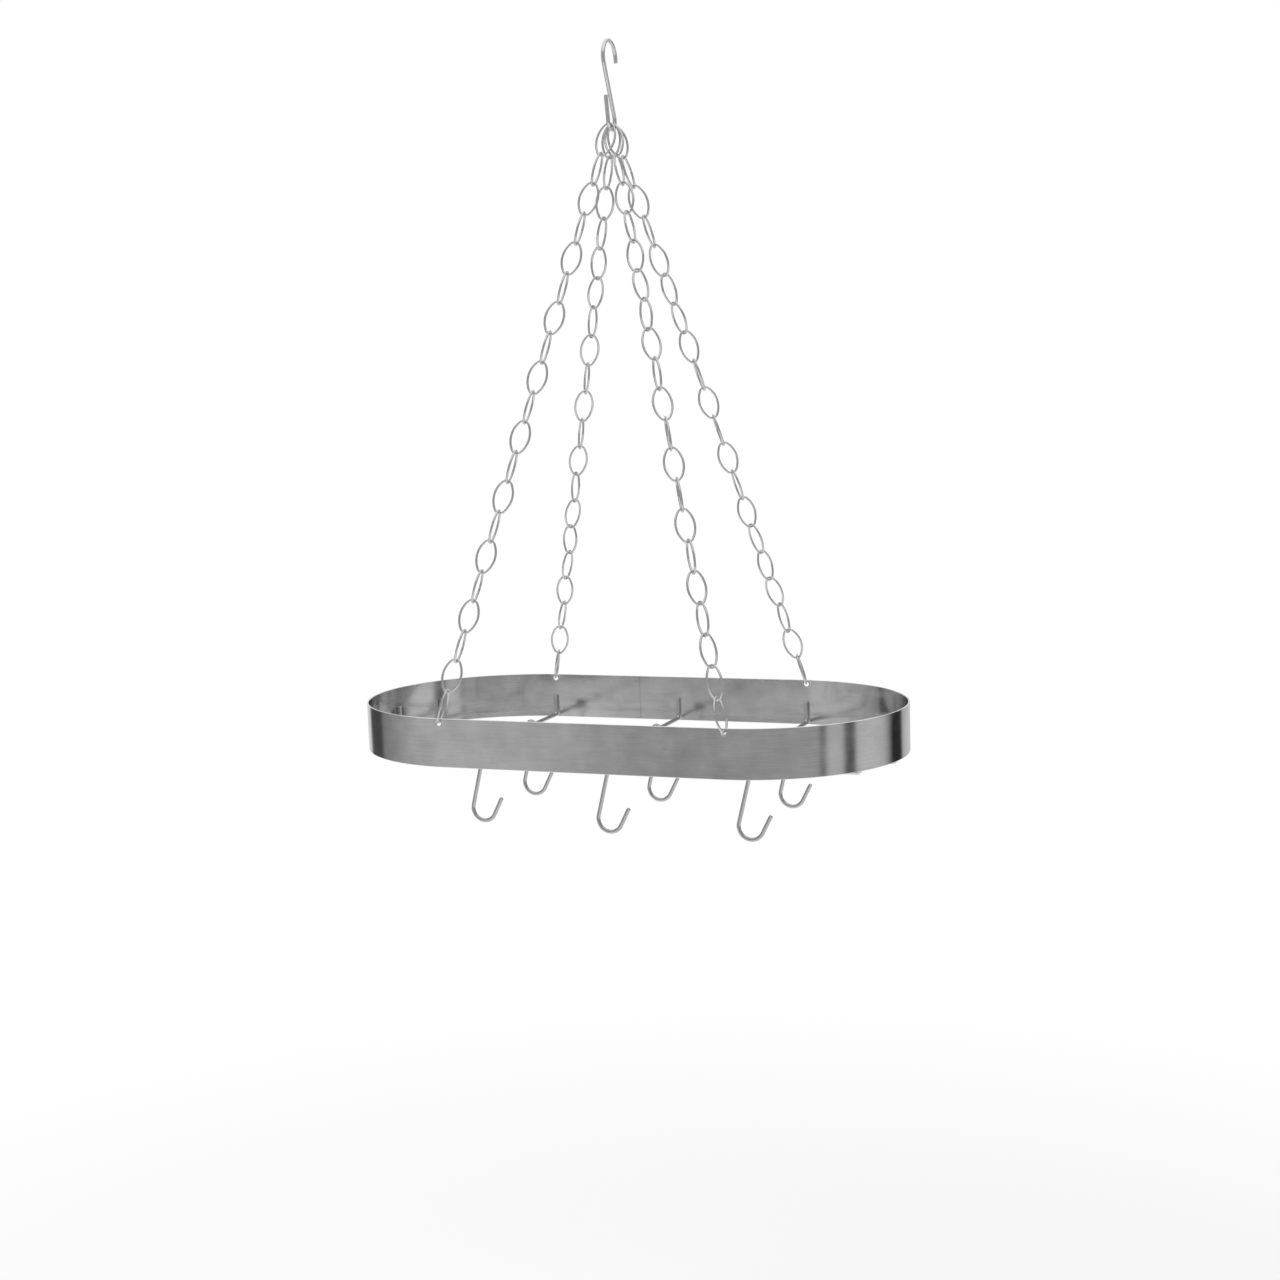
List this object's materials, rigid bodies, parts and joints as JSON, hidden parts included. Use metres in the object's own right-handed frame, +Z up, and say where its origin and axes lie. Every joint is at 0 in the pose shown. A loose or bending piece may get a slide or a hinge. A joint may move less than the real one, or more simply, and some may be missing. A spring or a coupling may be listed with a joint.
{
  "type": "hanging pot rack",
  "caption": "Oval steel band with a wire grid across its bottom, hung by oval-link chains from one S-shaped ceiling hook, with sliding pot hooks on the cross wires.",
  "frame": {"origin": "the inside top of the ceiling hook's upper bend, where it sits on what carries it", "axes": "+Z up, X along the band's length, -Y towards the front"},
  "size_m": [0.5078, 0.2704, 0.6915],
  "materials": {
    "band_steel": "brushed along its length",
    "grid_wire": "bright plated",
    "chain_wire": "bright plated",
    "pot_hook_wire": "bright plated",
    "ceiling_hook_rod": "bright plated"
  },
  "bodies": {
    "ceiling_hook": {"ceiling_hook": "ceiling_hook_rod"},
    "rack": {"band": "band_steel", "left_cross_wire": "grid_wire", "middle_cross_wire": "grid_wire", "right_cross_wire": "grid_wire", "front_outer_long_wire": "grid_wire", "front_inner_long_wire": "grid_wire", "back_inner_long_wire": "grid_wire", "back_outer_long_wire": "grid_wire", "front_left_chain_link_01": "chain_wire", "front_right_chain_link_01": "chain_wire", "back_left_chain_link_01": "chain_wire", "back_right_chain_link_01": "chain_wire", "front_left_chain_link_20": "chain_wire", "front_right_chain_link_20": "chain_wire", "back_left_chain_link_20": "chain_wire", "back_right_chain_link_20": "chain_wire"},
    "front_left_chain": {"front_left_chain_links_02_03": "chain_wire", "front_left_chain_links_04_05": "chain_wire", "front_left_chain_links_06_07": "chain_wire", "front_left_chain_links_08_09": "chain_wire", "front_left_chain_links_10_11": "chain_wire", "front_left_chain_links_12_13": "chain_wire", "front_left_chain_links_14_15": "chain_wire", "front_left_chain_links_16_17": "chain_wire", "front_left_chain_links_18_19": "chain_wire"},
    "front_right_chain": {"front_right_chain_links_02_03": "chain_wire", "front_right_chain_links_04_05": "chain_wire", "front_right_chain_links_06_07": "chain_wire", "front_right_chain_links_08_09": "chain_wire", "front_right_chain_links_10_11": "chain_wire", "front_right_chain_links_12_13": "chain_wire", "front_right_chain_links_14_15": "chain_wire", "front_right_chain_links_16_17": "chain_wire", "front_right_chain_links_18_19": "chain_wire"},
    "back_left_chain": {"back_left_chain_links_02_03": "chain_wire", "back_left_chain_links_04_05": "chain_wire", "back_left_chain_links_06_07": "chain_wire", "back_left_chain_links_08_09": "chain_wire", "back_left_chain_links_10_11": "chain_wire", "back_left_chain_links_12_13": "chain_wire", "back_left_chain_links_14_15": "chain_wire", "back_left_chain_links_16_17": "chain_wire", "back_left_chain_links_18_19": "chain_wire"},
    "back_right_chain": {"back_right_chain_links_02_03": "chain_wire", "back_right_chain_links_04_05": "chain_wire", "back_right_chain_links_06_07": "chain_wire", "back_right_chain_links_08_09": "chain_wire", "back_right_chain_links_10_11": "chain_wire", "back_right_chain_links_12_13": "chain_wire", "back_right_chain_links_14_15": "chain_wire", "back_right_chain_links_16_17": "chain_wire", "back_right_chain_links_18_19": "chain_wire"},
    "front_left_pot_hook": {"front_left_pot_hook": "pot_hook_wire"},
    "front_middle_pot_hook": {"front_middle_pot_hook": "pot_hook_wire"},
    "front_right_pot_hook": {"front_right_pot_hook": "pot_hook_wire"},
    "back_left_pot_hook": {"back_left_pot_hook": "pot_hook_wire"},
    "back_middle_pot_hook": {"back_middle_pot_hook": "pot_hook_wire"},
    "back_right_pot_hook": {"back_right_pot_hook": "pot_hook_wire"}
  },
  "joints": [
    {"name": "rack_swing", "type": "hinge", "parent": "ceiling_hook", "child": "rack", "pos_m": [0, 0, -0.073], "axis": [0, 1, 0], "range_deg": [-15, 15]},
    {"name": "front_left_chain_twist", "type": "hinge", "parent": "rack", "child": "front_left_chain", "pos_m": [0, -0.00345, -0.06879], "axis": [0.2395, 0.2315, 0.9429], "range_deg": [-15, 15]},
    {"name": "front_right_chain_twist", "type": "hinge", "parent": "rack", "child": "front_right_chain", "pos_m": [0, -0.00115, -0.0702], "axis": [-0.2399, 0.2361, 0.9416], "range_deg": [-15, 15]},
    {"name": "back_left_chain_twist", "type": "hinge", "parent": "rack", "child": "back_left_chain", "pos_m": [0, 0.00345, -0.06879], "axis": [0.2395, -0.2315, 0.9429], "range_deg": [-15, 15]},
    {"name": "back_right_chain_twist", "type": "hinge", "parent": "rack", "child": "back_right_chain", "pos_m": [0, 0.00115, -0.0702], "axis": [-0.2399, -0.2361, 0.9416], "range_deg": [-15, 15]},
    {"name": "front_left_pot_hook_swing", "type": "hinge", "parent": "rack", "child": "front_left_pot_hook", "pos_m": [-0.13, -0.05, -0.61838], "axis": [0, 1, 0], "range_deg": [-90, 90]},
    {"name": "front_middle_pot_hook_swing", "type": "hinge", "parent": "rack", "child": "front_middle_pot_hook", "pos_m": [0, -0.065, -0.61838], "axis": [0, 1, 0], "range_deg": [-90, 90]},
    {"name": "front_right_pot_hook_swing", "type": "hinge", "parent": "rack", "child": "front_right_pot_hook", "pos_m": [0.13, -0.065, -0.61838], "axis": [0, 1, 0], "range_deg": [-90, 90]},
    {"name": "back_left_pot_hook_swing", "type": "hinge", "parent": "rack", "child": "back_left_pot_hook", "pos_m": [-0.13, 0.065, -0.61838], "axis": [0, 1, 0], "range_deg": [-90, 90]},
    {"name": "back_middle_pot_hook_swing", "type": "hinge", "parent": "rack", "child": "back_middle_pot_hook", "pos_m": [0, 0.065, -0.61838], "axis": [0, 1, 0], "range_deg": [-90, 90]},
    {"name": "back_right_pot_hook_swing", "type": "hinge", "parent": "rack", "child": "back_right_pot_hook", "pos_m": [0.13, 0.065, -0.61838], "axis": [0, 1, 0], "range_deg": [-90, 90]}
  ]
}
